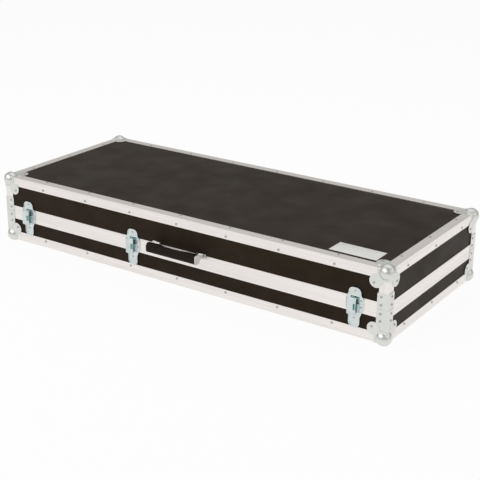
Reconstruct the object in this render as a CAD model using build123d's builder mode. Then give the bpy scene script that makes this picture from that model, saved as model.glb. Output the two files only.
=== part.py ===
"""Flight case for a stage keyboard: aluminium-edged plywood shells, a hinged lid and three butterfly latches.

Millimetres. X runs along the case, -Y is the front with the latches and the handle, +Z is up.
The origin is at the bottom centre of the whole object, under its ball corners.
"""

import os

from build123d import *

# Overall sizes of the aluminium-edged box, without corners and fittings
case_length = 1456.0
case_depth = 596.0
case_height = 224.0
split_drop = 121.0  # from the top face down to the closure line

# Walls and edge angles
panel = 7.0  # film-faced birch plywood
angle_width = 30.0
angle_wall = 1.5

# Closure extrusions: a groove on the base, a tongue on the lid
rim_depth = 10.0
lid_band = 19.5
base_band = 27.5
rim_inner_flange = 12.0
rim_web = 1.5
groove_width = 4.0
groove_depth = 5.0
tongue_root = 3.2
tongue_tip = 2.0
tongue_height = 4.0

# Ball corners
ball_radius = 24.0
ball_inset = 13.0
corner_plate = 1.5
corner_plate_reach = 38.0
lobe_centre = 40.0
lobe_radius = 20.5

# Corner braces over the closure line
brace_width = 33.5
brace_wall = 1.5
lid_brace_height = 48.5
brace_gap = 0.5  # to the closure line and to the ball corners
brace_round = 4.0

# Foam lining
foam = 18.0
foam_split_gap = 3.0
foam_clearance = 0.3

# Handle on the lid, hinged in two plates
handle_offset = 10.0  # the handle's middle, right of the case's middle
handle_drop = 104.0  # pivot below the top face
pivot_out = 7.0  # pivot axis in front of the front face
pivot_radius = 2.5
pivot_clearance = 0.05
pivot_end = 1.0  # how far the pivot's pin stands out of its saddle
grip_length = 186.0
grip_height = 30.0
grip_root = 21.5  # from the front face to the grip's near side
grip_reach = 47.0  # from the front face to its far side
grip_waist = 11.0  # how far the near side is hollowed for the fingers
grip_shoulder = 20.0  # straight length at each end of the hollow
grip_round = 9.0
hollow_round = 4.0
loop_wall = 2.0  # steel loops over the grip's ends
loop_arm = 9.0
loop_side_clearance = 0.5
saddle_length = 17.0
saddle_round = 5.0
handle_plate_wide = 42.0
handle_plate_high = 19.0
handle_plate_wall = 2.0
handle_plate_round = 8.0

# Hinges on the back
hinge_count = 3
hinge_end_inset = 210.0
hinge_length = 70.0
hinge_leaf = 24.0
hinge_wall = 2.0
hinge_round = 5.0
hinge_out = 5.0  # pin axis behind the back face
pin_radius = 2.5
pin_clearance = 0.05
knuckle_radius = 4.5
knuckle_gap = 0.4

# Butterfly latches: the plates
latch_end_inset = 102.0
middle_latch_x = 555.0  # from the left end
latch_plate = 1.5
latch_gap = 0.4
latch_ear_half = 28.5
latch_ear_end = 15.0  # where the ears stop, from the closure line
latch_ear_round = 9.0
latch_waist_round = 12.0
latch_border = 2.5  # raised border round the plates
latch_border_proud = 1.2
keeper_height = 46.5
keeper_waist = 20.0
keeper_waist_end = 26.5
keeper_round = 15.0
latch_body_height = 75.0
body_waist = 18.0
body_waist_end = 42.0
body_round = 15.5
dimple_half = 8.0  # pressed dimple under the wing
dimple_low = 64.0
dimple_high = 9.0
dimple_depth = 0.8

# Butterfly latches: lug, hook and guide
lug_low = 9.0  # keeper's lug above the closure line
lug_wall = 2.5
lug_half = 9.0
claw_wall = 3.0
hook_level = 2.4  # hook's back from the front face
hook_wall = 2.0
hook_half = 13.0
hook_foot = 5.0  # hook below its slot
hook_clearance = 0.3
guide_wall = 1.2
guide_foot = 4.0  # guide below the hook

# Butterfly latches: spindle and wing
spindle_drop = 8.0  # spindle axis below the closure line
spindle_radius = 3.0
spindle_clearance = 0.05
spindle_start = 0.5  # the shaft's inner end from the front face
cam_radius = 6.5
cam_offset = 3.0
cam_play = 0.95  # the slot's room round the cam, since the slide is not quite a sine
cam_side_clearance = 0.5
head_clearance = 0.3
head_wall = 1.8
head_half = 9.0
head_left = 4.5
barrel_x = 6.0
barrel_radius = 3.2
barrel_pin = 1.5
barrel_clearance = 0.05
barrel_gap = 0.3
barrel_swing_gap = 0.9
wing_length = 49.0
wing_reach = 24.0  # from the barrel's axis to the wing's free edge
wing_wall = 1.5
wing_skirt = 5.0
wing_round = 3.0
thumb_wide = 14.0  # raised pad on the wing
thumb_high = 20.0
thumb_proud = 0.8

# Derived places
half_length = case_length / 2
half_depth = case_depth / 2
ball_proud = ball_radius - ball_inset
shift_y = (grip_reach - ball_proud) / 2  # puts the origin under the middle of the whole object
front_y = shift_y - half_depth
back_y = shift_y + half_depth
floor_z = ball_proud
top_z = floor_z + case_height
split_z = top_z - split_drop
wall_in = angle_wall + panel  # from the outer face to the lining side of a panel
groove_floor = split_z - groove_depth
base_web = groove_floor - rim_web  # underside of the base rim's web
lid_web = split_z + rim_web  # top of the lid rim's web
latch_xs = {
    "left": -half_length + latch_end_inset,
    "middle": -half_length + middle_latch_x,
    "right": half_length - latch_end_inset,
}
spindle_z = split_z - spindle_drop
handle_x = handle_offset
handle_z = top_z - handle_drop
hinge_z = split_z
hinge_y = back_y + hinge_out
hinge_xs = [
    -half_length + hinge_end_inset + i * (case_length - 2 * hinge_end_inset) / (hinge_count - 1)
    for i in range(hinge_count)
]
parts = []


def keep(solid, name):
    """Label one sub-part and write its file."""
    solid.label = name
    export_step(solid, f"parts/{name}.step")
    parts.append(solid)


os.makedirs("parts", exist_ok=True)


# Plywood panels. Top and bottom cover the side panels' edges; front and back run past the short sides.
def flat_panel(name, low, high):
    """A plain board between two corners."""
    with BuildPart() as board:
        with BuildSketch(Plane.XY.offset(low[2])):
            with Locations(((low[0] + high[0]) / 2, (low[1] + high[1]) / 2)):
                Rectangle(high[0] - low[0], high[1] - low[1])
        extrude(amount=high[2] - low[2])
    keep(board.part, name)


outer_x = half_length - angle_wall
inner_x = half_length - wall_in
outer_front, inner_front = front_y + angle_wall, front_y + wall_in
outer_back, inner_back = back_y - angle_wall, back_y - wall_in
shells = {
    "lid": (lid_web, top_z - wall_in, top_z - wall_in, top_z - angle_wall),
    "base": (floor_z + wall_in, base_web, floor_z + angle_wall, floor_z + wall_in),
}
for shell, (wall_low, wall_high, flat_low, flat_high) in shells.items():
    cover = "top" if shell == "lid" else "bottom"
    flat_panel(
        f"{shell}_{cover}_panel",
        (-outer_x, outer_front, flat_low),
        (outer_x, outer_back, flat_high),
    )
    flat_panel(f"{shell}_front_panel", (-outer_x, outer_front, wall_low), (outer_x, inner_front, wall_high))
    flat_panel(f"{shell}_back_panel", (-outer_x, inner_back, wall_low), (outer_x, outer_back, wall_high))
    flat_panel(f"{shell}_left_panel", (-outer_x, inner_front, wall_low), (-inner_x, inner_back, wall_high))
    flat_panel(f"{shell}_right_panel", (inner_x, inner_front, wall_low), (outer_x, inner_back, wall_high))


# Four mitred lengths round the case, drawn as a section of depth inwards and height
def mitred_ring(section_points, names):
    """Extrude one closed section along each side and cut its ends at 45 degrees."""
    sides = {
        "front": (Plane((0, front_y, 0), x_dir=(0, 1, 0), z_dir=(1, 0, 0)), half_length),
        "back": (Plane((0, back_y, 0), x_dir=(0, -1, 0), z_dir=(-1, 0, 0)), half_length),
        "left": (Plane((-half_length, shift_y, 0), x_dir=(1, 0, 0), z_dir=(0, -1, 0)), half_depth),
        "right": (Plane((half_length, shift_y, 0), x_dir=(-1, 0, 0), z_dir=(0, 1, 0)), half_depth),
    }
    for side, (plane, half_run) in sides.items():
        with BuildPart() as length:
            with BuildSketch(plane):
                with BuildLine():
                    Polyline(*section_points, close=True)
                make_face()
            extrude(amount=half_run, both=True)
            run, inwards = plane.z_dir, plane.x_dir
            for end in (1, -1):
                corner = plane.origin + run * (end * half_run)
                split(bisect_by=Plane(corner, z_dir=run * end + inwards), keep=Keep.BOTTOM)
        keep(length.part, names[side])


def angle_section(outer_z, into):
    """An equal angle on a top or bottom edge; into is -1 below the top face and 1 above the bottom face."""
    return [
        (0, outer_z),
        (angle_width, outer_z),
        (angle_width, outer_z + into * angle_wall),
        (angle_wall, outer_z + into * angle_wall),
        (angle_wall, outer_z + into * angle_width),
        (0, outer_z + into * angle_width),
    ]


side_names = ("front", "back", "left", "right")
mitred_ring(angle_section(top_z, -1), {s: f"lid_{s}_edge" for s in side_names})
mitred_ring(angle_section(floor_z, 1), {s: f"base_{s}_edge" for s in side_names})

# Base rim: a channel for the tongue on top, a pocket for the panel below
groove_in = (rim_depth - groove_width) / 2
groove_out = groove_in + groove_width
base_rim = [
    (0, split_z),
    (groove_in, split_z),
    (groove_in, groove_floor),
    (groove_out, groove_floor),
    (groove_out, split_z),
    (rim_depth, split_z),
    (rim_depth, base_web - rim_inner_flange),
    (wall_in, base_web - rim_inner_flange),
    (wall_in, base_web),
    (angle_wall, base_web),
    (angle_wall, split_z - base_band),
    (0, split_z - base_band),
]
mitred_ring(base_rim, {s: f"base_{s}_rim" for s in side_names})

# Lid rim: a tapered tongue below, a pocket for the panel above
rim_middle = rim_depth / 2
lid_rim = [
    (0, split_z),
    (rim_middle - tongue_root / 2, split_z),
    (rim_middle - tongue_tip / 2, split_z - tongue_height),
    (rim_middle + tongue_tip / 2, split_z - tongue_height),
    (rim_middle + tongue_root / 2, split_z),
    (rim_depth, split_z),
    (rim_depth, lid_web + rim_inner_flange),
    (wall_in, lid_web + rim_inner_flange),
    (wall_in, lid_web),
    (angle_wall, lid_web),
    (angle_wall, split_z + lid_band),
    (0, split_z + lid_band),
]
mitred_ring(lid_rim, {s: f"lid_{s}_rim" for s in side_names})


# Four-fold placing for what sits on every vertical edge
def four_corners(build, name):
    """Mirror a part drawn at the left front corner to all four vertical edges."""
    with BuildPart() as group:
        add(build)
        mirror(about=Plane.YZ)
        mirror(about=Plane((0, shift_y, 0), z_dir=(0, 1, 0)))
    keep(group.part, name)


def corner_angle(low, high, inner, outer, width):
    """An angle standing at the left front corner, its faces at inner and outer from the case's faces."""
    with BuildPart() as angle:
        with BuildSketch(Plane((-half_length, front_y, low))):
            with BuildLine():
                Polyline(
                    (-outer, -outer),
                    (width, -outer),
                    (width, -inner),
                    (-inner, -inner),
                    (-inner, width),
                    (-outer, width),
                    close=True,
                )
            make_face()
        extrude(amount=high - low)
    return angle.part


four_corners(
    corner_angle(split_z + lid_band, top_z - angle_width, -angle_wall, 0, angle_width), "lid_corner_posts"
)
four_corners(
    corner_angle(floor_z + angle_width, split_z - base_band, -angle_wall, 0, angle_width), "base_corner_posts"
)
with BuildPart() as lid_brace:
    low = split_z + brace_gap
    add(corner_angle(low, low + lid_brace_height, 0, brace_wall, brace_width))
    for across, out in ((Axis.Y, Axis.X), (Axis.X, Axis.Y)):
        upper_corner = lid_brace.edges().filter_by(across).group_by(out)[-1].sort_by(Axis.Z)[-1]
        fillet(upper_corner, radius=brace_round)
four_corners(lid_brace.part, "lid_corner_braces")

# The base brace runs down to the ball corner's plates and is cut round their lobes
with BuildPart() as base_brace:
    low = floor_z + corner_plate_reach + brace_gap
    add(corner_angle(low, split_z - brace_gap, 0, brace_wall, brace_width))
    for across, normal in (((1, 0, 0), (0, -1, 0)), ((0, 1, 0), (1, 0, 0))):
        with BuildSketch(Plane((-half_length, front_y, floor_z), x_dir=across, z_dir=normal)):
            with Locations((lobe_centre, lobe_centre)):
                Circle(lobe_radius + brace_gap)
        extrude(amount=brace_wall, both=True, mode=Mode.SUBTRACT)
four_corners(base_brace.part, "base_corner_braces")


# Ball corners: three plates round a ball, each a square with a round lobe on its diagonal
plate_side = corner_plate_reach + corner_plate
plate_middle = (corner_plate_reach - corner_plate) / 2
with BuildPart() as ball_corner:
    for across, normal in (((1, 0, 0), (0, 0, 1)), ((0, 1, 0), (1, 0, 0)), ((0, 0, 1), (0, 1, 0))):
        with BuildSketch(Plane((0, 0, 0), x_dir=across, z_dir=normal).offset(-corner_plate)):
            with Locations((plate_middle, plate_middle)):
                Rectangle(plate_side, plate_side)
            with Locations((lobe_centre, lobe_centre)):
                Circle(lobe_radius)
        extrude(amount=corner_plate)
    with Locations((ball_inset, ball_inset, ball_inset)):
        Sphere(ball_radius)
    case_block = lobe_centre + lobe_radius + corner_plate
    Box(case_block, case_block, case_block, align=(Align.MIN, Align.MIN, Align.MIN), mode=Mode.SUBTRACT)

for shell, height, up in (("base", floor_z, 1), ("lid", top_z, -1)):
    with BuildPart() as corner:
        add(ball_corner.part if up > 0 else ball_corner.part.mirror(Plane.XY))
    placed = corner.part.moved(Location((-half_length, front_y, height)))
    four_corners(placed, f"{shell}_ball_corners")


# Foam lining, one sheet and one ring of strips in each shell
def foam_ring(name, low, high):
    """Four strips against the walls, just inside the rims."""
    with BuildPart() as ring:
        with BuildSketch(Plane((0, shift_y, low))):
            Rectangle(case_length - 2 * rim_depth, case_depth - 2 * rim_depth)
            inner = rim_depth + foam
            Rectangle(case_length - 2 * inner, case_depth - 2 * inner, mode=Mode.SUBTRACT)
        extrude(amount=high - low)
    keep(ring.part, name)


foam_inset = rim_depth + foam + foam_clearance
foam_x, foam_front, foam_back = half_length - foam_inset, front_y + foam_inset, back_y - foam_inset
foam_floor, foam_roof = floor_z + wall_in, top_z - wall_in
flat_panel("base_floor_pad", (-foam_x, foam_front, foam_floor), (foam_x, foam_back, foam_floor + foam))
flat_panel("lid_top_pad", (-foam_x, foam_front, foam_roof - foam), (foam_x, foam_back, foam_roof))
foam_ring("base_side_pads", foam_floor, split_z - foam_split_gap)
foam_ring("lid_side_pads", split_z + foam_split_gap, foam_roof)


# Hinges. Each has two outer knuckles on the base leaf and one middle knuckle on the lid leaf.
knuckle_run = hinge_length / 3
bore_radius = pin_radius + pin_clearance


def hinge_leaf_part(x, side):
    """One leaf at x; side is 1 for the lid's leaf and -1 for the base's."""
    own = [0.0] if side > 0 else [-knuckle_run, knuckle_run]
    other = [-knuckle_run, knuckle_run] if side > 0 else [0.0]
    with BuildPart() as leaf:
        with BuildSketch(Plane((x, back_y, hinge_z), x_dir=(1, 0, 0), z_dir=(0, 1, 0))):
            with Locations((0, -side * hinge_leaf / 2)):
                Rectangle(hinge_length, hinge_leaf)
        extrude(amount=hinge_wall)
        far_corners = leaf.edges().filter_by(Axis.Y).group_by(Axis.Z)[-1 if side > 0 else 0]
        fillet(far_corners, radius=hinge_round)
        notch = knuckle_run + 2 * knuckle_gap
        for place in other:
            with Locations((x + place, back_y + hinge_wall / 2, hinge_z)):
                Box(notch, 2 * hinge_wall, 2 * (knuckle_radius + knuckle_gap), mode=Mode.SUBTRACT)
        for place in own:
            run = knuckle_run - knuckle_gap
            with BuildSketch(Plane((x + place - run / 2, hinge_y, hinge_z), x_dir=(0, 1, 0), z_dir=(1, 0, 0))):
                Circle(knuckle_radius)
            extrude(amount=run)
        with Locations(Location((x, hinge_y, hinge_z), (0, 90, 0))):
            Cylinder(bore_radius, hinge_length * 2, mode=Mode.SUBTRACT)
    return leaf.part


for shell, side in (("lid", 1), ("base", -1)):
    with BuildPart() as leaves:
        for x in hinge_xs:
            add(hinge_leaf_part(x, side))
    keep(leaves.part, f"{shell}_hinge_leaves")

with BuildPart() as hinge_pins:
    for x in hinge_xs:
        with BuildSketch(Plane((x - hinge_length / 2, hinge_y, hinge_z), x_dir=(0, 1, 0), z_dir=(1, 0, 0))):
            Circle(pin_radius)
        extrude(amount=hinge_length)
keep(hinge_pins.part, "hinge_pins")


# Butterfly latches. Sketch x runs along the case and sketch y up from the closure line.
def latch_plane(x, out):
    """A plane parallel to the front, out from it, its normal pointing away from the case."""
    return Plane((x, front_y - out, split_z), x_dir=(1, 0, 0), z_dir=(0, -1, 0))


def half_plate(height, side, waist, waist_end, tip_round):
    """Half of the almond plate, eared at the closure line and narrowing to a round tip; side is 1 or -1."""
    with BuildSketch() as outline:
        with BuildLine():
            right = [
                (latch_ear_half, side * latch_gap),
                (latch_ear_half, side * latch_ear_end),
                (waist, side * waist_end),
                (waist, side * height),
            ]
            Polyline(*right, *[(-across, up) for across, up in reversed(right)], close=True)
        make_face()
        # Levels count from the closure line; the furthest is rounded first, so the nearer keep their count
        for level, radius in ((3, tip_round), (2, latch_waist_round), (1, latch_ear_round)):
            fillet(outline.vertices().group_by(Axis.Y)[::side][level], radius=radius)
    return outline.sketch


def border(plate, side):
    """The raised border of a half plate, open towards the closure line."""
    with BuildSketch() as ring:
        add(plate)
        offset(plate, amount=-latch_border, mode=Mode.SUBTRACT)
        with Locations((0, side * latch_border)):
            Rectangle(2 * (latch_ear_half - latch_border), 2 * latch_border, mode=Mode.SUBTRACT)
    return ring.sketch


keeper_outline = half_plate(keeper_height, 1, keeper_waist, keeper_waist_end, keeper_round)
body_outline = half_plate(latch_body_height, -1, body_waist, body_waist_end, body_round)

guide_level = hook_level + hook_wall + hook_clearance
window_top = lug_low + lug_wall + hook_clearance
window_low = lug_low - 2 * cam_offset - 2 * hook_clearance
hook_top = window_top + claw_wall
cam_slot_wide = 2 * (cam_radius + cam_offset + cam_side_clearance)
cam_slot_high = 2 * (cam_radius + cam_play)
hook_low = -spindle_drop - cam_offset - cam_slot_high / 2 - hook_foot
guide_half = hook_half + hook_clearance + guide_wall
guide_low = hook_low - guide_foot

head_level = guide_level + guide_wall + head_clearance
barrel_out = head_level + head_wall + head_clearance + barrel_radius
wing_level = barrel_out + barrel_radius


def barrel_plane(x, down):
    """A level plane down from the spindle's axis, its y pointing out from the case."""
    return Plane((x, front_y, spindle_z - down), x_dir=(1, 0, 0), z_dir=(0, 0, -1))


for side_name, x in latch_xs.items():
    # Keeper: a plate with a lug that the hook's claw reaches over
    with BuildPart() as keeper:
        with BuildSketch(latch_plane(x, 0)):
            add(keeper_outline)
        extrude(amount=latch_plate)
        with BuildSketch(latch_plane(x, latch_plate)):
            add(border(keeper_outline, 1))
        extrude(amount=latch_border_proud)
        with BuildSketch(latch_plane(x, latch_plate)):
            with Locations((0, lug_low + lug_wall / 2)):
                Rectangle(2 * lug_half, lug_wall)
        extrude(amount=hook_level + hook_wall - latch_plate)
    keep(keeper.part, f"latch_{side_name}_keeper")

    # Body: a bordered plate with a raised guide that the hook slides in and the spindle turns in
    with BuildPart() as body:
        with BuildSketch(latch_plane(x, 0)):
            add(body_outline)
        extrude(amount=latch_plate)
        with BuildSketch(latch_plane(x, latch_plate)):
            add(border(body_outline, -1))
        extrude(amount=latch_border_proud)
        with BuildSketch(latch_plane(x, latch_plate)):
            with Locations((0, (guide_low - latch_gap) / 2)):
                Rectangle(2 * guide_half, -guide_low - latch_gap)
        extrude(amount=guide_level + guide_wall - latch_plate)
        with BuildSketch(latch_plane(x, latch_plate)):
            with Locations((0, (hook_low - hook_clearance) / 2)):
                Rectangle(2 * (hook_half + hook_clearance), -hook_low + hook_clearance)
        extrude(amount=guide_level - latch_plate, mode=Mode.SUBTRACT)
        with BuildSketch(latch_plane(x, 0)):
            with Locations((0, -spindle_drop)):
                Circle(spindle_radius + spindle_clearance)
        extrude(amount=guide_level + guide_wall, mode=Mode.SUBTRACT)
        with BuildSketch(latch_plane(x, latch_plate)):
            with BuildLine():
                Polyline(
                    (-dimple_half, -dimple_low),
                    (dimple_half, -dimple_low),
                    (0, dimple_high - dimple_low),
                    close=True,
                )
            make_face()
        extrude(amount=-dimple_depth, mode=Mode.SUBTRACT)
    keep(body.part, f"latch_{side_name}_body")

    # Hook: a flat slide with a slot for the cam and a claw turned in over the keeper's lug
    with BuildPart() as hook:
        with BuildSketch(latch_plane(x, hook_level)):
            with Locations((0, (hook_low + hook_top) / 2)):
                Rectangle(2 * hook_half, hook_top - hook_low)
            with Locations((0, -spindle_drop - cam_offset)):
                Rectangle(cam_slot_wide, cam_slot_high, mode=Mode.SUBTRACT)
            with Locations((0, (window_low + window_top) / 2)):
                Rectangle(2 * (lug_half + hook_clearance), window_top - window_low, mode=Mode.SUBTRACT)
        extrude(amount=hook_wall)
    keep(hook.part, f"latch_{side_name}_hook")

    # Spindle: a shaft with an eccentric cam, and a head whose barrel holds the wing's pin
    with BuildPart() as spindle:
        with BuildSketch(latch_plane(x, spindle_start)):
            with Locations((0, -spindle_drop)):
                Circle(spindle_radius)
        extrude(amount=head_level - spindle_start)
        with BuildSketch(latch_plane(x, hook_level)):
            with Locations((0, -spindle_drop - cam_offset)):
                Circle(cam_radius)
        extrude(amount=hook_wall)
        with BuildSketch(latch_plane(x, head_level)):
            with Locations(((barrel_x + barrel_radius - head_left) / 2, -spindle_drop)):
                Rectangle(barrel_x + barrel_radius + head_left, 2 * head_half)
        extrude(amount=head_wall)
        with BuildSketch(barrel_plane(x, -head_half)):
            with Locations((barrel_x, barrel_out)):
                Circle(barrel_radius)
            with Locations((barrel_x, (head_level + barrel_out) / 2)):
                Rectangle(barrel_radius, barrel_out - head_level)
        extrude(amount=2 * head_half)
        with BuildSketch(barrel_plane(x, -wing_length / 2)):
            with Locations((barrel_x, barrel_out)):
                Circle(barrel_pin)
        extrude(amount=wing_length)
    keep(spindle.part, f"latch_{side_name}_spindle")

    # Wing: a shallow tray folded over the spindle, with a raised thumb pad and two knuckles on the pin
    with BuildPart() as wing:
        with BuildSketch(barrel_plane(x, -wing_length / 2)):
            with Locations((barrel_x, barrel_out)):
                Circle(barrel_radius)
            with Locations((barrel_x - wing_reach / 2, wing_level - wing_skirt / 2)):
                Rectangle(wing_reach, wing_skirt)
        extrude(amount=wing_length)
        free_edges = wing.edges().filter_by(Axis.Y).group_by(Axis.X)[0]
        fillet(free_edges, radius=wing_round)
        with BuildSketch(barrel_plane(x, wing_wall - wing_length / 2)):
            with Locations((barrel_x - wing_reach / 2, wing_level - wing_skirt / 2 - wing_wall)):
                Rectangle(wing_reach - 2 * wing_wall, wing_skirt)
        extrude(amount=wing_length - 2 * wing_wall, mode=Mode.SUBTRACT)
        with BuildSketch(latch_plane(x, wing_level)):
            with Locations((barrel_x - wing_reach / 2, -spindle_drop)):
                Rectangle(thumb_wide, thumb_high)
        extrude(amount=thumb_proud)
        with BuildSketch(barrel_plane(x, -head_half - barrel_gap)):
            with Locations((barrel_x, barrel_out)):
                Rectangle(2 * (barrel_radius + barrel_swing_gap), 4 * barrel_radius)
        extrude(amount=2 * (head_half + barrel_gap), mode=Mode.SUBTRACT)
        with BuildSketch(barrel_plane(x, -wing_length / 2)):
            with Locations((barrel_x, barrel_out)):
                Circle(barrel_pin + barrel_clearance)
        extrude(amount=wing_length, mode=Mode.SUBTRACT)
    keep(wing.part, f"latch_{side_name}_wing")


# Handle. The grip is drawn from above, and its loops and saddles from its right-hand end.
grip_end = handle_x + grip_length / 2
handle_middle = Plane((handle_x, 0, 0), z_dir=(1, 0, 0))


def is_hollow(face):
    """Whether a face is the grip's finger hollow, whose axis is upright."""
    return abs(face.axis_of_rotation.direction.Z) > 0.5


def handle_side(x):
    """A plane across the handle at x, its x pointing out from the case and its normal along the case."""
    return Plane((x, front_y, handle_z), x_dir=(0, -1, 0), z_dir=(1, 0, 0))


grip_section = (grip_reach - grip_root, grip_height, grip_round)
with BuildPart() as handle_grip:
    with BuildSketch(handle_side(handle_x)):
        with Locations(((grip_root + grip_reach) / 2, 0)):
            RectangleRounded(*grip_section)
    extrude(amount=grip_length / 2, both=True)
    with BuildSketch(Plane((handle_x, front_y, handle_z), x_dir=(-1, 0, 0), z_dir=(0, 0, -1))):
        with BuildLine():
            half_hollow = grip_length / 2 - grip_shoulder
            ThreePointArc((-half_hollow, -grip_root), (0, -grip_root - grip_waist), (half_hollow, -grip_root))
            Line((half_hollow, -grip_root), (-half_hollow, -grip_root))
        make_face()
    extrude(amount=grip_height, both=True, mode=Mode.SUBTRACT)
    hollow_edges = handle_grip.faces().filter_by(GeomType.CYLINDER).filter_by(is_hollow).edges()
    fillet(hollow_edges, radius=hollow_round)
keep(handle_grip.part, "handle_grip")

# Loops: a steel cheek on each end of the grip, with an arm back to the pivot and a pin through the saddle
with BuildPart() as handle_loops:
    with BuildSketch(handle_side(grip_end)):
        with Locations(((grip_root + grip_reach) / 2, 0)):
            RectangleRounded(*grip_section)
        with Locations(((pivot_out + grip_root + grip_round) / 2, 0)):
            Rectangle(grip_root + grip_round - pivot_out, loop_arm)
        with Locations((pivot_out, 0)):
            Circle(loop_arm / 2)
    extrude(amount=loop_wall)
    with BuildSketch(handle_side(grip_end)):
        with Locations((pivot_out, 0)):
            Circle(pivot_radius)
    extrude(amount=-(loop_side_clearance + saddle_length + pivot_end))
    mirror(about=handle_middle)
keep(handle_loops.part, "handle_loops")

with BuildPart() as handle_plates:
    saddle_start = grip_end - loop_side_clearance - saddle_length
    with BuildSketch(Plane((handle_x, front_y, handle_z), x_dir=(1, 0, 0), z_dir=(0, -1, 0))):
        with Locations((saddle_start + saddle_length / 2 - handle_x, 0)):
            RectangleRounded(handle_plate_wide, handle_plate_high, handle_plate_round)
    extrude(amount=handle_plate_wall)
    with BuildSketch(handle_side(saddle_start)):
        with Locations((pivot_out, 0)):
            Circle(saddle_round)
        with Locations((pivot_out / 2, 0)):
            Rectangle(pivot_out, 2 * saddle_round)
    extrude(amount=saddle_length)
    with BuildSketch(handle_side(saddle_start)):
        with Locations((pivot_out, 0)):
            Circle(pivot_radius + pivot_clearance)
    extrude(amount=saddle_length, mode=Mode.SUBTRACT)
    mirror(about=handle_middle)
keep(handle_plates.part, "handle_plates")
print("parts", len(parts))
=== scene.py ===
"""Looks of a keyboard flight case: film-faced panels, aluminium edges, zinc fittings, foam and a padded grip.

Metres throughout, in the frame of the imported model. X runs along the case, -Y is its front, +Z is up.
"""

import math

import bmesh
import bpy
from mathutils import Matrix, Vector


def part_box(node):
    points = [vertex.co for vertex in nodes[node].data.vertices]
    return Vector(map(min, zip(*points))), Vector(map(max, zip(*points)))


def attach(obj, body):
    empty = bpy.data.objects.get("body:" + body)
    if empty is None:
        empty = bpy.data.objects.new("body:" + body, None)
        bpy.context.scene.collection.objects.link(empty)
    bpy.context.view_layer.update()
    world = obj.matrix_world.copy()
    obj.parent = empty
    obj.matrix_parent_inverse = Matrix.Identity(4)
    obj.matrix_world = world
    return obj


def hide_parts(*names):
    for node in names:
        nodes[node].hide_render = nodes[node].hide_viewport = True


bl_info = {
    "name": "Keyboard Flight Case",
    "version": (1, 0, 0),
    "blender": (4, 5, 0),
    "location": "View3D > Sidebar > Flight Case",
    "description": "Finishes a keyboard flight case round its packed parts",
    "category": "Object",
}

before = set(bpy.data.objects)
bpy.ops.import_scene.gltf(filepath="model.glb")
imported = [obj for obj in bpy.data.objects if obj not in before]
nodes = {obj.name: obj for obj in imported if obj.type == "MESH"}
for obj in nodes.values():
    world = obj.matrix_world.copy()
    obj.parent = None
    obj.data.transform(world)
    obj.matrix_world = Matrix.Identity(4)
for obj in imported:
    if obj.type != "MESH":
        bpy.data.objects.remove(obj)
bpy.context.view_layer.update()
bpy.ops.object.select_all(action="DESELECT")

MM = 0.001
SIDES = ("front", "back", "left", "right")
LATCHES = ("left", "middle", "right")

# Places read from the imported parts
CASE_LOW = Vector((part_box("base_front_edge")[0].x, *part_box("base_left_edge")[0].yz))
CASE_HIGH = Vector((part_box("lid_front_edge")[1].x, *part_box("lid_left_edge")[1].yz))
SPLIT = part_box("base_front_rim")[1].z


def linear(hex_colour):
    """A colour written as an sRGB hex value, turned to linear with full alpha."""
    channels = [int(hex_colour[i : i + 2], 16) / 255 for i in (1, 3, 5)]
    turned = [c / 12.92 if c <= 0.04045 else ((c + 0.055) / 1.055) ** 2.4 for c in channels]
    return (*turned, 1.0)


# Materials
def add_node(tree, kind, inputs=None, links=None, **settings):
    """One shader node with its settings, input values and incoming links."""
    made = tree.nodes.new(kind)
    for name, value in settings.items():
        setattr(made, name, value)
    for name, value in (inputs or {}).items():
        made.inputs[name].default_value = value
    for name, socket in (links or {}).items():
        tree.links.new(socket, made.inputs[name])
    return made


def start_material(name, **values):
    """A material with one principled shader; values are set on its own sockets."""
    material = bpy.data.materials.new(name)
    material.use_nodes = True
    shader = material.node_tree.nodes["Principled BSDF"]
    for socket, value in values.items():
        shader.inputs[socket.replace("_", " ")].default_value = value
    return material, material.node_tree, shader


def connect(tree, shader, colour, roughness, height, distance, strength):
    """Wire a colour, a roughness and a bump of some distance in metres to the shader."""
    raised = add_node(
        tree, "ShaderNodeBump", inputs={"Distance": distance, "Strength": strength}, links={"Height": height}
    )
    tree.links.new(colour, shader.inputs["Base Color"])
    tree.links.new(roughness, shader.inputs["Roughness"])
    tree.links.new(raised.outputs["Normal"], shader.inputs["Normal"])


def film_faced_plywood(colour, light):
    """Phenolic film pressed on birch ply: near-black brown and satin, with the faint mottle of the press."""
    material, tree, shader = start_material(
        "film_faced_birch_ply", IOR=1.5, Specular_IOR_Level=0.08, Specular_Tint=linear("#ffdcb8")
    )
    place = add_node(tree, "ShaderNodeTexCoord").outputs["Object"]
    mottle = add_node(
        tree, "ShaderNodeTexNoise", inputs={"Scale": 1 / (70 * MM), "Detail": 4.0}, links={"Vector": place}
    )
    clouds = add_node(
        tree,
        "ShaderNodeMapRange",
        inputs={"From Min": 0.35, "From Max": 0.65},
        links={"Value": mottle.outputs["Fac"]},
    )
    shade = add_node(
        tree,
        "ShaderNodeMix",
        inputs={6: colour, 7: light},
        links={0: clouds.outputs["Result"]},
        data_type="RGBA",
    )
    # The film's grain is near 0.3 mm; it is drawn at 1.4 mm so that the render shows it.
    film = add_node(tree, "ShaderNodeTexNoise", inputs={"Scale": 1 / (1.4 * MM)}, links={"Vector": place})
    # Rubbed patches, a hand wide, where the film has lost a little of its dullness
    rubbed = add_node(
        tree, "ShaderNodeTexNoise", inputs={"Scale": 1 / (110 * MM), "Detail": 6.0}, links={"Vector": place}
    )
    dull = add_node(
        tree,
        "ShaderNodeMapRange",
        inputs={"From Min": 0.35, "From Max": 0.7, "To Min": 0.5, "To Max": 0.38},
        links={"Value": rubbed.outputs["Fac"]},
    )
    connect(tree, shader, shade.outputs[2], dull.outputs["Result"], film.outputs["Fac"], 0.05 * MM, 0.5)
    return material


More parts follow.
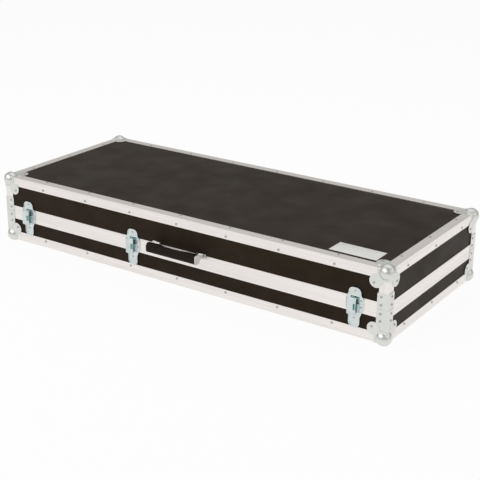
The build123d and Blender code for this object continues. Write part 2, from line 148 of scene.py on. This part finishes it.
def drawn_aluminium(axis, colour, dull):
    """Extruded aluminium, mill finish: bright satin grey with fine draw lines along its length."""
    material, tree, shader = start_material(f"mill_aluminium_{axis}", Metallic=1.0)
    place = add_node(tree, "ShaderNodeTexCoord").outputs["Object"]
    along = add_node(
        tree,
        "ShaderNodeMapping",
        inputs={"Scale": [1 / 80 if axis == name else 1 for name in "xyz"]},
        links={"Vector": place},
    )
    # Draw lines are near 0.1 mm apart; they are drawn at 1.2 mm so that the render shows them.
    lines = add_node(
        tree,
        "ShaderNodeTexNoise",
        inputs={"Scale": 1 / (1.2 * MM), "Detail": 3.0},
        links={"Vector": along.outputs["Vector"]},
    )
    # Broader streaks, a few millimetres wide, are left by the die and by handling.
    streaks = add_node(
        tree,
        "ShaderNodeTexNoise",
        inputs={"Scale": 1 / (5 * MM), "Detail": 5.0, "Roughness": 0.65},
        links={"Vector": along.outputs["Vector"]},
    )
    spread = add_node(
        tree,
        "ShaderNodeMapRange",
        inputs={"From Min": 0.35, "From Max": 0.65},
        links={"Value": streaks.outputs["Fac"]},
    )
    shade = add_node(
        tree,
        "ShaderNodeMix",
        inputs={6: dull, 7: colour},
        links={0: spread.outputs["Result"]},
        data_type="RGBA",
    )
    satin = add_node(
        tree,
        "ShaderNodeMapRange",
        inputs={"From Min": 0.3, "From Max": 0.7, "To Min": 0.28, "To Max": 0.42},
        links={"Value": lines.outputs["Fac"]},
    )
    connect(tree, shader, shade.outputs[2], satin.outputs["Result"], lines.outputs["Fac"], 0.03 * MM, 0.4)
    return material


def zinc_plate(name, colour, dull, rough, ripple=0.04 * MM):
    """Pressed steel with a bright zinc plate: pale and glossy, faintly clouded by the bath."""
    material, tree, shader = start_material(name, Metallic=1.0)
    place = add_node(tree, "ShaderNodeTexCoord").outputs["Object"]
    bath = add_node(
        tree, "ShaderNodeTexNoise", inputs={"Scale": 1 / (24 * MM), "Detail": 3.0}, links={"Vector": place}
    )
    shade = add_node(
        tree,
        "ShaderNodeMix",
        inputs={6: dull, 7: colour},
        links={0: bath.outputs["Fac"]},
        data_type="RGBA",
    )
    # The pressed steel's own skin shows as a soft unevenness, some millimetres wide.
    press = add_node(tree, "ShaderNodeTexNoise", inputs={"Scale": 1 / (5 * MM)}, links={"Vector": place})
    gloss = add_node(
        tree,
        "ShaderNodeMapRange",
        inputs={"From Min": 0.3, "From Max": 0.7, "To Min": rough - 0.05, "To Max": rough + 0.05},
        links={"Value": press.outputs["Fac"]},
    )
    connect(tree, shader, shade.outputs[2], gloss.outputs["Result"], press.outputs["Fac"], ripple, 0.6)
    return material


def moulded_grip(colour, light):
    """Moulded soft black plastic with a fine leather grain and a dull shine, and painted sheen: a lighter
    colour along its creases, where they catch the light.
    """
    material, tree, shader = start_material(
        "moulded_black_pvc", IOR=1.5, Specular_IOR_Level=0.16, Specular_Tint=linear("#ffe4cc")
    )
    place = add_node(tree, "ShaderNodeTexCoord").outputs["Object"]
    # The leather grain's pebbles are near 1 mm; they are drawn at 3 mm so that the render shows them.
    pebbles = add_node(
        tree,
        "ShaderNodeTexVoronoi",
        inputs={"Scale": 1 / (3 * MM)},
        links={"Vector": place},
        feature="SMOOTH_F1",
    )
    # Creases run along the grip, some 3 mm apart and a finger's width long; the lighter colour laid along
    # them is painted sheen, the crease ridges catching the light.
    along = add_node(tree, "ShaderNodeMapping", inputs={"Scale": (1 / 8, 1, 1)}, links={"Vector": place})
    sheen = add_node(
        tree,
        "ShaderNodeTexNoise",
        inputs={"Scale": 1 / (3 * MM), "Detail": 3.0},
        links={"Vector": along.outputs["Vector"]},
    )
    creases = add_node(
        tree,
        "ShaderNodeMapRange",
        inputs={"From Min": 0.42, "From Max": 0.68},
        links={"Value": sheen.outputs["Fac"]},
    )
    shade = add_node(
        tree,
        "ShaderNodeMix",
        inputs={6: colour, 7: light},
        links={0: creases.outputs["Result"]},
        data_type="RGBA",
    )
    shine = add_node(
        tree,
        "ShaderNodeMapRange",
        inputs={"From Max": 0.6, "To Min": 0.42, "To Max": 0.62},
        links={"Value": pebbles.outputs["Distance"]},
    )
    grain = pebbles.outputs["Distance"]
    connect(tree, shader, shade.outputs[2], shine.outputs["Result"], grain, 0.5 * MM, 0.8)
    return material


def open_cell_foam(colour, light):
    """Charcoal polyether foam, cut from a block: dull, with open cells that catch a little light."""
    material, tree, shader = start_material("charcoal_foam", IOR=1.4)
    place = add_node(tree, "ShaderNodeTexCoord").outputs["Object"]
    # Cells are under 1 mm; they are drawn at 3 mm so that the render shows them.
    cells = add_node(tree, "ShaderNodeTexVoronoi", inputs={"Scale": 1 / (3 * MM)}, links={"Vector": place})
    shade = add_node(
        tree,
        "ShaderNodeMix",
        inputs={6: colour, 7: light},
        links={0: cells.outputs["Distance"]},
        data_type="RGBA",
    )
    dull = add_node(
        tree,
        "ShaderNodeMapRange",
        inputs={"To Min": 0.85, "To Max": 0.98},
        links={"Value": cells.outputs["Distance"]},
    )
    connect(tree, shader, shade.outputs[2], dull.outputs["Result"], cells.outputs["Distance"], 0.6 * MM, 0.8)
    return material


def white_vinyl(colour, dull):
    """White self-adhesive vinyl: satin and even, a little yellowed in patches."""
    material, tree, shader = start_material("white_vinyl", IOR=1.5)
    place = add_node(tree, "ShaderNodeTexCoord").outputs["Object"]
    age = add_node(
        tree, "ShaderNodeTexNoise", inputs={"Scale": 1 / (25 * MM), "Detail": 3.0}, links={"Vector": place}
    )
    shade = add_node(
        tree,
        "ShaderNodeMix",
        inputs={6: dull, 7: colour},
        links={0: age.outputs["Fac"]},
        data_type="RGBA",
    )
    satin = add_node(
        tree,
        "ShaderNodeMapRange",
        inputs={"To Min": 0.3, "To Max": 0.45},
        links={"Value": age.outputs["Fac"]},
    )
    connect(tree, shader, shade.outputs[2], satin.outputs["Result"], age.outputs["Fac"], 0.05 * MM, 0.2)
    return material


def paint(target, material):
    """Give a whole object one material."""
    target.data.materials.clear()
    target.data.materials.append(material)


# Modelling helpers
def active_mesh(name):
    """Name the object that was just added."""
    made = bpy.context.active_object
    made.name = name
    made.data.name = name
    return made


def select_only(piece):
    """Make one piece the selected and active object."""
    bpy.ops.object.select_all(action="DESELECT")
    piece.select_set(True)
    bpy.context.view_layer.objects.active = piece


def settle(piece):
    """Move a piece's place into its mesh and leave nothing selected."""
    select_only(piece)
    bpy.ops.object.transform_apply(location=True, rotation=True, scale=True)
    bpy.ops.object.select_all(action="DESELECT")
    return piece


def pick_faces(piece, wanted):
    """In edit mode, select only the faces whose centre and normal pass a test."""
    bpy.ops.mesh.select_mode(type="FACE")
    bpy.ops.mesh.select_all(action="DESELECT")
    shape = bmesh.from_edit_mesh(piece.data)
    for face in shape.faces:
        face.select_set(wanted(face.calc_center_median(), face.normal))
    bmesh.update_edit_mesh(piece.data)


def rounded_block(name, low, high, radius, segments=3):
    """A block between two corners with rounded edges, smooth shaded."""
    low, high = Vector(low), Vector(high)
    bpy.ops.mesh.primitive_cube_add(size=1, location=(low + high) / 2)
    block = active_mesh(name)
    block.scale = high - low
    settle(block)
    select_only(block)
    bpy.ops.object.mode_set(mode="EDIT")
    bpy.ops.mesh.select_all(action="SELECT")
    bpy.ops.mesh.bevel(offset=radius, segments=segments, profile=0.5)
    bpy.ops.object.mode_set(mode="OBJECT")
    bpy.ops.object.shade_smooth_by_angle(angle=math.radians(50))
    return block


def join(pieces, name):
    """Join several new meshes into one named piece."""
    bpy.ops.object.select_all(action="DESELECT")
    for piece in pieces:
        piece.select_set(True)
    bpy.context.view_layer.objects.active = pieces[0]
    bpy.ops.object.join()
    joined = active_mesh(name)
    bpy.ops.object.select_all(action="DESELECT")
    return joined


def mount_piece(piece, material, body):
    """Material and body for one new piece."""
    paint(piece, material)
    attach(piece, body)
    return piece


# Sizes and colours that a user would change
def colour_choice(name, description, default):
    """A colour that the user can change, its default written as an sRGB hex value."""
    return bpy.props.FloatVectorProperty(
        name=name, description=description, default=linear(default), size=4, min=0, max=1, subtype="COLOR"
    )


def length_choice(name, description, default):
    """A size that the user can change, in metres."""
    return bpy.props.FloatProperty(name=name, description=description, default=default, unit="LENGTH")


class FlightCaseFinish(bpy.types.PropertyGroup):
    """Colours of the case's materials."""

    panel: colour_choice("Panel", "Film-faced panel", "#28211a")
    panel_light: colour_choice("Panel mottle", "Lighter clouds in the film", "#2f2720")
    aluminium: colour_choice("Aluminium", "Edge angles and closure extrusions", "#f3eeea")
    aluminium_dull: colour_choice("Aluminium, dull", "Duller streaks of the extrusions", "#e7e2de")
    zinc: colour_choice("Zinc", "Ball corners, braces and hinges", "#e6e6e2")
    zinc_dull: colour_choice("Zinc, dull", "Clouded patches of the zinc", "#d3d6d3")
    latch_zinc: colour_choice("Latch zinc", "Pressed sheets of the latches", "#e2e6e6")
    latch_zinc_dull: colour_choice("Latch zinc, dull", "Clouded patches of the latches", "#b9c6c6")
    blue_zinc: colour_choice("Blue zinc", "Blue passivated hooks and spindles", "#a3c4c0")
    blue_zinc_dull: colour_choice("Blue zinc, dull", "Deeper tint of the blue zinc", "#6f9d98")
    nickel: colour_choice("Nickel", "Handle loops and plates", "#dcdbd7")
    nickel_dull: colour_choice("Nickel, dull", "Clouded patches of the nickel", "#c6c4bf")
    rivet: colour_choice("Rivets", "Zinc-plated rivet heads", "#c9c7c4")
    rivet_dull: colour_choice("Rivets, dull", "Duller side of the rivet heads", "#acaaa7")
    grip: colour_choice("Grip", "Handle grip", "#120e0b")
    # Painted sheen: the grip's lighter colour, laid along its creases where they would catch the light.
    grip_crease_sheen: colour_choice("Grip, worn", "Rubbed patches of the grip", "#221c18")
    foam: colour_choice("Foam", "Foam lining", "#242322")
    foam_light: colour_choice("Foam cells", "Light edges of the foam's cells", "#3e3c3a")
    label: colour_choice("Label", "Bare label", "#ebebe9")
    label_dull: colour_choice("Label, aged", "Aged patches of the label", "#e2e1dd")


class FlightCaseSizes(bpy.types.PropertyGroup):
    """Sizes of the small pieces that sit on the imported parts."""

    rivet_radius: length_choice("Rivet radius", "Radius of a rivet's head", 4.2 * MM)
    rivet_height: length_choice("Rivet height", "How far a rivet's head stands proud", 1.5 * MM)
    rivet_pitch: length_choice("Rivet pitch", "Spacing of the rivets along an edge", 185 * MM)
    rivet_inset: length_choice("Rivet inset", "From the case's edge to a rivet's centre", 21.5 * MM)
    rivet_margin: length_choice("Rivet margin", "Rivet-free length at each end of an edge", 70 * MM)
    label_length: length_choice("Label length", "Length of the bare label", 152 * MM)
    label_width: length_choice("Label width", "Width of the bare label", 68 * MM)
    label_right: length_choice("Label, from right", "From the case's right face to the label", 66 * MM)
    label_front: length_choice("Label, from front", "From the case's front face to the label", 45 * MM)
    foam_round: length_choice("Foam edge", "Radius of the foam's cut edges", 3 * MM)


def finish_colours():
    """The colours that the user may have changed."""
    return bpy.context.scene.flight_case_finish


def sizes():
    """The sizes that the user may have changed."""
    return bpy.context.scene.flight_case_sizes


class CASE_OT_stage(bpy.types.Operator):
    """Make the floor, the soft studio light and the camera."""

    bl_idname = "flight_case.stage"
    bl_label = "Stage"

    camera_place = Vector((1.9324, -2.7971, 1.3740))
    camera_turn = (69.083, -0.560, 34.189)  # degrees about X, Y and Z
    focal_px = 1102.05
    image_px = 480
    sensor = 36.0
    floor_size = 60.0
    # Height on the sky from 0 to 1, and its shade there
    room = ((0.08, "#4e4d4b"), (0.2, "#c5c4c2"), (0.34, "#eeeeed"), (0.55, "#e2e2e1"))
    horizon, zenith = "#c8c8c8", "#8e8e8e"
    room_light = 0.78
    paper_glow = 0.94  # share of the floor's own light, where the camera or a reflection sees it
    # Name, place, width and height in metres, and power in watts
    softboxes = (
        ("key", (-1.6, -3.4, 2.8), (5.2, 3.4), 72),
        ("top", (0.0, 0.8, 3.6), (5.0, 3.6), 42),
        ("fill", (3.8, 0.2, 1.9), (4.0, 3.2), 17),
    )

    def make_camera(self):
        data = bpy.data.cameras.new("camera")
        data.sensor_width = self.sensor
        data.lens = self.sensor * self.focal_px / self.image_px
        data.clip_end = 100
        camera = bpy.data.objects.new("camera", data)
        camera.location = self.camera_place
        camera.rotation_euler = [math.radians(angle) for angle in self.camera_turn]
        bpy.context.scene.collection.objects.link(camera)
        bpy.context.scene.camera = camera

    def make_floor(self):
        bpy.ops.mesh.primitive_plane_add(size=self.floor_size, location=(0, 0, 0))
        floor = settle(active_mesh("studio_floor"))
        material = bpy.data.materials.new("studio_paper")
        material.use_nodes = True
        tree = material.node_tree
        tree.nodes.clear()
        paper = add_node(tree, "ShaderNodeBsdfDiffuse", inputs={"Color": linear("#f7f7f7")})
        glow = add_node(tree, "ShaderNodeEmission", inputs={"Color": (1, 1, 1, 1), "Strength": 1.0})
        # The paper's own light keeps the background white where the camera or a reflection sees it.
        path = add_node(tree, "ShaderNodeLightPath")
        seen = add_node(
            tree,
            "ShaderNodeMath",
            links={0: path.outputs["Is Camera Ray"], 1: path.outputs["Is Glossy Ray"]},
            operation="MAXIMUM",
        )
        share = add_node(
            tree,
            "ShaderNodeMath",
            inputs={1: self.paper_glow},
            links={0: seen.outputs[0]},
            operation="MULTIPLY",
        )
        mix = add_node(
            tree,
            "ShaderNodeMixShader",
            links={0: share.outputs[0], 1: paper.outputs[0], 2: glow.outputs[0]},
        )
        add_node(tree, "ShaderNodeOutputMaterial", links={"Surface": mix.outputs[0]})
        paint(floor, material)

    def make_softbox(self, name, place, size, power):
        data = bpy.data.lights.new(name, "AREA")
        data.shape = "RECTANGLE"
        data.size, data.size_y = size
        data.energy = power
        lamp = bpy.data.objects.new(name, data)
        lamp.location = place
        aim = (CASE_LOW + CASE_HIGH) / 2
        lamp.rotation_euler = (aim - Vector(place)).to_track_quat("-Z", "Y").to_euler()
        bpy.context.scene.collection.objects.link(lamp)

    def make_world(self):
        world = bpy.data.worlds.new("studio")
        bpy.context.scene.world = world
        world.use_nodes = True
        tree = world.node_tree
        tree.nodes.clear()
        coords = add_node(tree, "ShaderNodeTexCoord")
        split = add_node(tree, "ShaderNodeSeparateXYZ", links={"Vector": coords.outputs["Generated"]})
        # Softboxes stand in a dim room: a darker band near eye level gives the metal its contrast.
        sky = add_node(tree, "ShaderNodeValToRGB", links={"Fac": split.outputs["Z"]})
        stops = sky.color_ramp.elements
        stops[0].color, stops[1].color = linear(self.horizon), linear(self.zenith)
        for height, shade in self.room:
            stops.new(height).color = linear(shade)
        light = add_node(
            tree,
            "ShaderNodeBackground",
            inputs={"Strength": self.room_light},
            links={"Color": sky.outputs["Color"]},
        )
        white = add_node(tree, "ShaderNodeBackground", inputs={"Color": (1, 1, 1, 1), "Strength": 1.0})
        path = add_node(tree, "ShaderNodeLightPath")
        mix = add_node(
            tree,
            "ShaderNodeMixShader",
            links={0: path.outputs["Is Camera Ray"], 1: light.outputs[0], 2: white.outputs[0]},
        )
        add_node(tree, "ShaderNodeOutputWorld", links={"Surface": mix.outputs[0]})

    def execute(self, context):
        self.make_camera()
        self.make_floor()
        self.make_world()
        for softbox in self.softboxes:
            self.make_softbox(*softbox)
        context.scene.view_settings.view_transform = "Standard"
        return {"FINISHED"}


class CASE_OT_panels(bpy.types.Operator):
    """Finish the ten plywood panels in dark phenolic film."""

    bl_idname = "flight_case.panels"
    bl_label = "Panels"

    def execute(self, context):
        colours = finish_colours()
        film = film_faced_plywood(colours.panel, colours.panel_light)
        for shell, cover in (("lid", "top"), ("base", "bottom")):
            for side in (cover, *SIDES):
                paint(nodes[f"{shell}_{side}_panel"], film)
        return {"FINISHED"}


class CASE_OT_edges(bpy.types.Operator):
    """Finish the edge angles, corner posts and closure extrusions in drawn aluminium."""

    bl_idname = "flight_case.edges"
    bl_label = "Aluminium edges"

    def execute(self, context):
        colours = finish_colours()
        metal = {axis: drawn_aluminium(axis, colours.aluminium, colours.aluminium_dull) for axis in "xyz"}
        for shell in ("lid", "base"):
            paint(nodes[f"{shell}_corner_posts"], metal["z"])
            for side in SIDES:
                axis = "x" if side in ("front", "back") else "y"
                paint(nodes[f"{shell}_{side}_edge"], metal[axis])
                paint(nodes[f"{shell}_{side}_rim"], metal[axis])
        return {"FINISHED"}


class CASE_OT_corners(bpy.types.Operator):
    """Finish the ball corners, braces and hinges in bright zinc."""

    bl_idname = "flight_case.corners"
    bl_label = "Corners and hinges"

    def execute(self, context):
        colours = finish_colours()
        zinc = zinc_plate("bright_zinc_steel", colours.zinc, colours.zinc_dull, 0.36)
        for name in ("ball_corners", "corner_braces", "hinge_leaves"):
            for shell in ("lid", "base"):
                paint(nodes[f"{shell}_{name}"], zinc)
        paint(nodes["hinge_pins"], zinc)
        return {"FINISHED"}


class CASE_OT_latches(bpy.types.Operator):
    """Finish the latches in zinc: bright on the pressed sheets, blue passivated on hook and spindle."""

    bl_idname = "flight_case.latches"
    bl_label = "Latches"

    def execute(self, context):
        colours = finish_colours()
        pressed = zinc_plate("bright_zinc_latch", colours.latch_zinc, colours.latch_zinc_dull, 0.2, 0.35 * MM)
        turned = zinc_plate("blue_zinc_steel", colours.blue_zinc, colours.blue_zinc_dull, 0.16)
        for latch in LATCHES:
            for piece in ("keeper", "body", "wing"):
                paint(nodes[f"latch_{latch}_{piece}"], pressed)
            for piece in ("hook", "spindle"):
                paint(nodes[f"latch_{latch}_{piece}"], turned)
        return {"FINISHED"}


class CASE_OT_handle(bpy.types.Operator):
    """Finish the handle's grip in moulded black and its loops and plates in nickel."""

    bl_idname = "flight_case.handle"
    bl_label = "Handle"

    def execute(self, context):
        colours = finish_colours()
        nickel = zinc_plate("nickel_plated_steel", colours.nickel, colours.nickel_dull, 0.18)
        paint(nodes["handle_loops"], nickel)
        paint(nodes["handle_plates"], nickel)
        # The grip's second colour is painted sheen along its creases.
        paint(nodes["handle_grip"], moulded_grip(colours.grip, colours.grip_crease_sheen))
        return {"FINISHED"}


class CASE_OT_foam(bpy.types.Operator):
    """Line both shells with a foam sheet and a frame of foam strips."""

    bl_idname = "flight_case.foam"
    bl_label = "Foam lining"

    strip = 18 * MM  # thickness of the foam

    def pad(self, pad, node, body, material):
        mount_piece(pad, material, body)
        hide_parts(node)

    def frame(self, node):
        """Two long strips and two short ones between them, butted at the corners."""
        low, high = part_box(node)
        in_x, in_y = low.x + self.strip, low.y + self.strip
        out_x, out_y = high.x - self.strip, high.y - self.strip
        spans = (
            (low, (high.x, in_y, high.z)),
            ((low.x, out_y, low.z), high),
            ((low.x, in_y, low.z), (in_x, out_y, high.z)),
            ((out_x, in_y, low.z), (high.x, out_y, high.z)),
        )
        strips = [rounded_block("foam_strip", start, end, sizes().foam_round) for start, end in spans]
        return join(strips, f"{node}_foam")

    def execute(self, context):
        colours = finish_colours()
        foam = open_cell_foam(colours.foam, colours.foam_light)
        for body, flat, sides in (
            ("base", "base_floor_pad", "base_side_pads"),
            ("lid", "lid_top_pad", "lid_side_pads"),
        ):
            sheet = rounded_block(f"{flat}_foam", *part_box(flat), sizes().foam_round)
            self.pad(sheet, flat, body, foam)
            self.pad(self.frame(sides), sides, body, foam)
        return {"FINISHED"}


class CASE_OT_label(bpy.types.Operator):
    """Lay a bare white label on the lid near its front right corner."""

    bl_idname = "flight_case.label"
    bl_label = "Label"

    thick = 0.4 * MM
    edge_round = 0.16 * MM

    def execute(self, context):
        size, colours = sizes(), finish_colours()
        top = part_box("lid_top_panel")[1].z
        high_x, low_y = CASE_HIGH.x - size.label_right, CASE_LOW.y + size.label_front
        low = (high_x - size.label_length, low_y, top)
        high = (high_x, low_y + size.label_width, top + self.thick)
        label = rounded_block("bare_label", low, high, self.edge_round, 2)
        mount_piece(label, white_vinyl(colours.label, colours.label_dull), "lid")
        return {"FINISHED"}


class CASE_OT_rivets(bpy.types.Operator):
    """Set blind rivets along the edges and on the corners, braces, latches, hinges and handle plates."""

    bl_idname = "flight_case.rivets"
    bl_label = "Rivets"

    sides_of_head = 16
    slim_width = 0.75  # share of the edge rivets' radius that the rivets in thin plates have
    slim_height = 0.8
    rounding = 0.9  # share of the head's height that its dome takes
    mandrel = 0.22  # share of the radius from the dome's top to the mandrel's hole
    mandrel_depth = 0.5
    sheet = 1.5 * MM  # thickness of the ball corners, braces and latch plates
    leaf = 2 * MM  # thickness of the hinge leaves and handle plates
    lobe = 46 * MM  # from the case's edges to the rivet in a ball corner's lobe
    brace_column = 21 * MM  # from the case's upright edge to the rivets of a brace
    # Heights under the lid's top, and places across and up from a latch's middle at the closure line
    lid_brace_rows = (84 * MM, 108 * MM)
    base_brace_rows = (135 * MM, 157 * MM)
    keeper_rows = ((0, 37 * MM), (-20.5 * MM, 9 * MM), (20.5 * MM, 9 * MM))
    body_rows = ((0, -46 * MM), (-20.5 * MM, -10 * MM), (20.5 * MM, -10 * MM))
    hinge_half = 35 * MM
    hinge_step = 25 * MM
    hinge_rise = 16 * MM
    plate_end = 5.5 * MM
    plate_step = 31 * MM

    def make_pattern(self, radius, height):
        """A low dome with the mandrel's hole in its middle, standing on the ground at the origin."""
        bpy.ops.mesh.primitive_cylinder_add(
            vertices=self.sides_of_head, radius=radius, depth=height, location=(0, 0, height / 2)
        )
        head = settle(active_mesh("rivet_pattern"))
        select_only(head)
        bpy.ops.object.mode_set(mode="EDIT")
        pick_faces(head, lambda centre, normal: normal.z > 0.9)
        bpy.ops.mesh.bevel(offset=height * self.rounding, segments=3, affect="EDGES")
        pick_faces(head, lambda centre, normal: normal.z > 0.99)
        bpy.ops.mesh.inset(thickness=radius * self.mandrel)
        sunk = (0, 0, -height * self.mandrel_depth)
        bpy.ops.mesh.extrude_region_move(TRANSFORM_OT_translate={"value": sunk})
        bpy.ops.object.mode_set(mode="OBJECT")
        bpy.ops.object.shade_smooth_by_angle(angle=math.radians(40))
        return head

    def heads(self, pattern, places):
        """Copies of the pattern at places, each a point and the direction that its head faces."""
        copies = []
        for place, normal in places:
            copy = pattern.copy()
            copy.data = pattern.data.copy()
            bpy.context.scene.collection.objects.link(copy)
            turn = Vector((0, 0, 1)).rotation_difference(Vector(normal)).to_matrix().to_4x4()
            copy.data.transform(Matrix.Translation(Vector(place)) @ turn)
            copies.append(copy)
        return copies

    def along(self, start, end):
        """Places on a line at the rivet pitch, counted out from its middle."""
        size = sizes()
        middle, half = (start + end) / 2, (end - start) / 2 - size.rivet_margin
        count = int(half / size.rivet_pitch)
        return [middle + i * size.rivet_pitch for i in range(-count, count + 1)]

    def faces(self):
        """The four upright faces: an origin on the face's left lower end, its direction and its normal."""
        low, high = CASE_LOW, CASE_HIGH
        long_side, short_side = high.x - low.x, high.y - low.y
        return (
            (Vector((low.x, low.y, 0)), Vector((1, 0, 0)), Vector((0, -1, 0)), long_side),
            (Vector((high.x, low.y, 0)), Vector((0, 1, 0)), Vector((1, 0, 0)), short_side),
            (Vector((high.x, high.y, 0)), Vector((-1, 0, 0)), Vector((0, 1, 0)), long_side),
            (Vector((low.x, high.y, 0)), Vector((0, -1, 0)), Vector((-1, 0, 0)), short_side),
        )

    def edge_places(self, flat_z, up):
        """Rivets on both flanges of the four angles round the top or the bottom."""
        inset = sizes().rivet_inset
        places = []
        for origin, run, normal, length in self.faces():
            for step in self.along(0, length):
                upright = origin + run * step + Vector((0, 0, flat_z - up * inset))
                places.append((upright, normal))
                flat = origin + run * step - normal * inset + Vector((0, 0, flat_z))
                places.append((flat, Vector((0, 0, up))))
        return places

    def corner_places(self, flat_z, up, heights):
        """Rivets on the ball corners' lobes and down the braces, on their steel's outer face."""
        places = []
        for origin, run, normal, length in self.faces():
            outer = origin + normal * self.sheet
            for step in (self.lobe, length - self.lobe):
                places.append((outer + run * step + Vector((0, 0, flat_z - up * self.lobe)), normal))
            for step in (self.brace_column, length - self.brace_column):
                for height in heights:
                    places.append((outer + run * step + Vector((0, 0, CASE_HIGH.z - height)), normal))
            flat = origin + (run - normal) * self.lobe + Vector((0, 0, flat_z + up * self.sheet))
            places.append((flat, Vector((0, 0, up))))
        return places

    def latch_places(self, half, rows):
        """Rivets on one half of each latch, as across and up from the latch's middle at the closure line."""
        places = []
        for latch in LATCHES:
            low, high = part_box(f"latch_{latch}_{half}")
            for across, up in rows:
                x = (low.x + high.x) / 2 + across
                places.append((Vector((x, CASE_LOW.y - self.sheet, SPLIT + up)), Vector((0, -1, 0))))
        return places

    def hinge_places(self, up):
        """Three rivets on each hinge leaf."""
        low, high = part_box("hinge_pins")
        first, last = low.x + self.hinge_half, high.x - self.hinge_half
        behind, height = CASE_HIGH.y + self.leaf, SPLIT + up * self.hinge_rise
        return [
            (Vector((middle + across, behind, height)), Vector((0, 1, 0)))
            for middle in (first, (first + last) / 2, last)
            for across in (-self.hinge_step, 0, self.hinge_step)
        ]

    def handle_places(self):
        """A rivet at each end of both handle plates."""
        low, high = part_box("handle_plates")
        front, height = CASE_LOW.y - self.leaf, (low.z + high.z) / 2
        return [
            (Vector((end + inwards * (self.plate_end + far), front, height)), Vector((0, -1, 0)))
            for end, inwards in ((low.x, 1), (high.x, -1))
            for far in (0, self.plate_step)
        ]

    def execute(self, context):
        size, colours = sizes(), finish_colours()
        steel = zinc_plate("zinc_steel_rivets", colours.rivet, colours.rivet_dull, 0.3)
        wide = self.make_pattern(size.rivet_radius, size.rivet_height)
        slim = self.make_pattern(size.rivet_radius * self.slim_width, size.rivet_height * self.slim_height)
        groups = {
            "lid_edge_rivets": ("lid", wide, self.edge_places(CASE_HIGH.z, 1)),
            "base_edge_rivets": ("base", wide, self.edge_places(CASE_LOW.z, -1)),
            "lid_corner_rivets": ("lid", wide, self.corner_places(CASE_HIGH.z, 1, self.lid_brace_rows)),
            "base_corner_rivets": ("base", wide, self.corner_places(CASE_LOW.z, -1, self.base_brace_rows)),
            "latch_keeper_rivets": ("lid", slim, self.latch_places("keeper", self.keeper_rows)),
            "latch_body_rivets": ("base", slim, self.latch_places("body", self.body_rows)),
            "lid_hinge_rivets": ("lid", slim, self.hinge_places(1)),
            "base_hinge_rivets": ("base", slim, self.hinge_places(-1)),
            "handle_plate_rivets": ("lid", slim, self.handle_places()),
        }
        for name, (body, pattern, places) in groups.items():
            mount_piece(join(self.heads(pattern, places), name), steel, body)
        for pattern in (wide, slim):
            bpy.data.objects.remove(pattern)
        return {"FINISHED"}


class CASE_PT_panel(bpy.types.Panel):
    """Buttons that finish the case piece by piece."""

    bl_idname = "CASE_PT_panel"
    bl_label = "Flight Case"
    bl_space_type = "VIEW_3D"
    bl_region_type = "UI"
    bl_category = "Flight Case"

    def draw(self, context):
        for operator in OPERATORS:
            self.layout.operator(operator.bl_idname)
        for group in (context.scene.flight_case_finish, context.scene.flight_case_sizes):
            for name in group.bl_rna.properties.keys():
                if name not in ("rna_type", "name"):
                    self.layout.prop(group, name)


GROUPS = {"flight_case_finish": FlightCaseFinish, "flight_case_sizes": FlightCaseSizes}
OPERATORS = (
    CASE_OT_stage,
    CASE_OT_panels,
    CASE_OT_edges,
    CASE_OT_corners,
    CASE_OT_latches,
    CASE_OT_handle,
    CASE_OT_foam,
    CASE_OT_label,
    CASE_OT_rivets,
)


def register():
    for kind in (*GROUPS.values(), *OPERATORS, CASE_PT_panel):
        bpy.utils.register_class(kind)
    for name, group in GROUPS.items():
        setattr(bpy.types.Scene, name, bpy.props.PointerProperty(type=group))


def unregister():
    for name in GROUPS:
        delattr(bpy.types.Scene, name)
    for kind in reversed((*GROUPS.values(), *OPERATORS, CASE_PT_panel)):
        bpy.utils.unregister_class(kind)


def main():
    register()
    for operator in OPERATORS:
        family, name = operator.bl_idname.split(".")
        getattr(getattr(bpy.ops, family), name)()


if __name__ == "__main__":
    main()
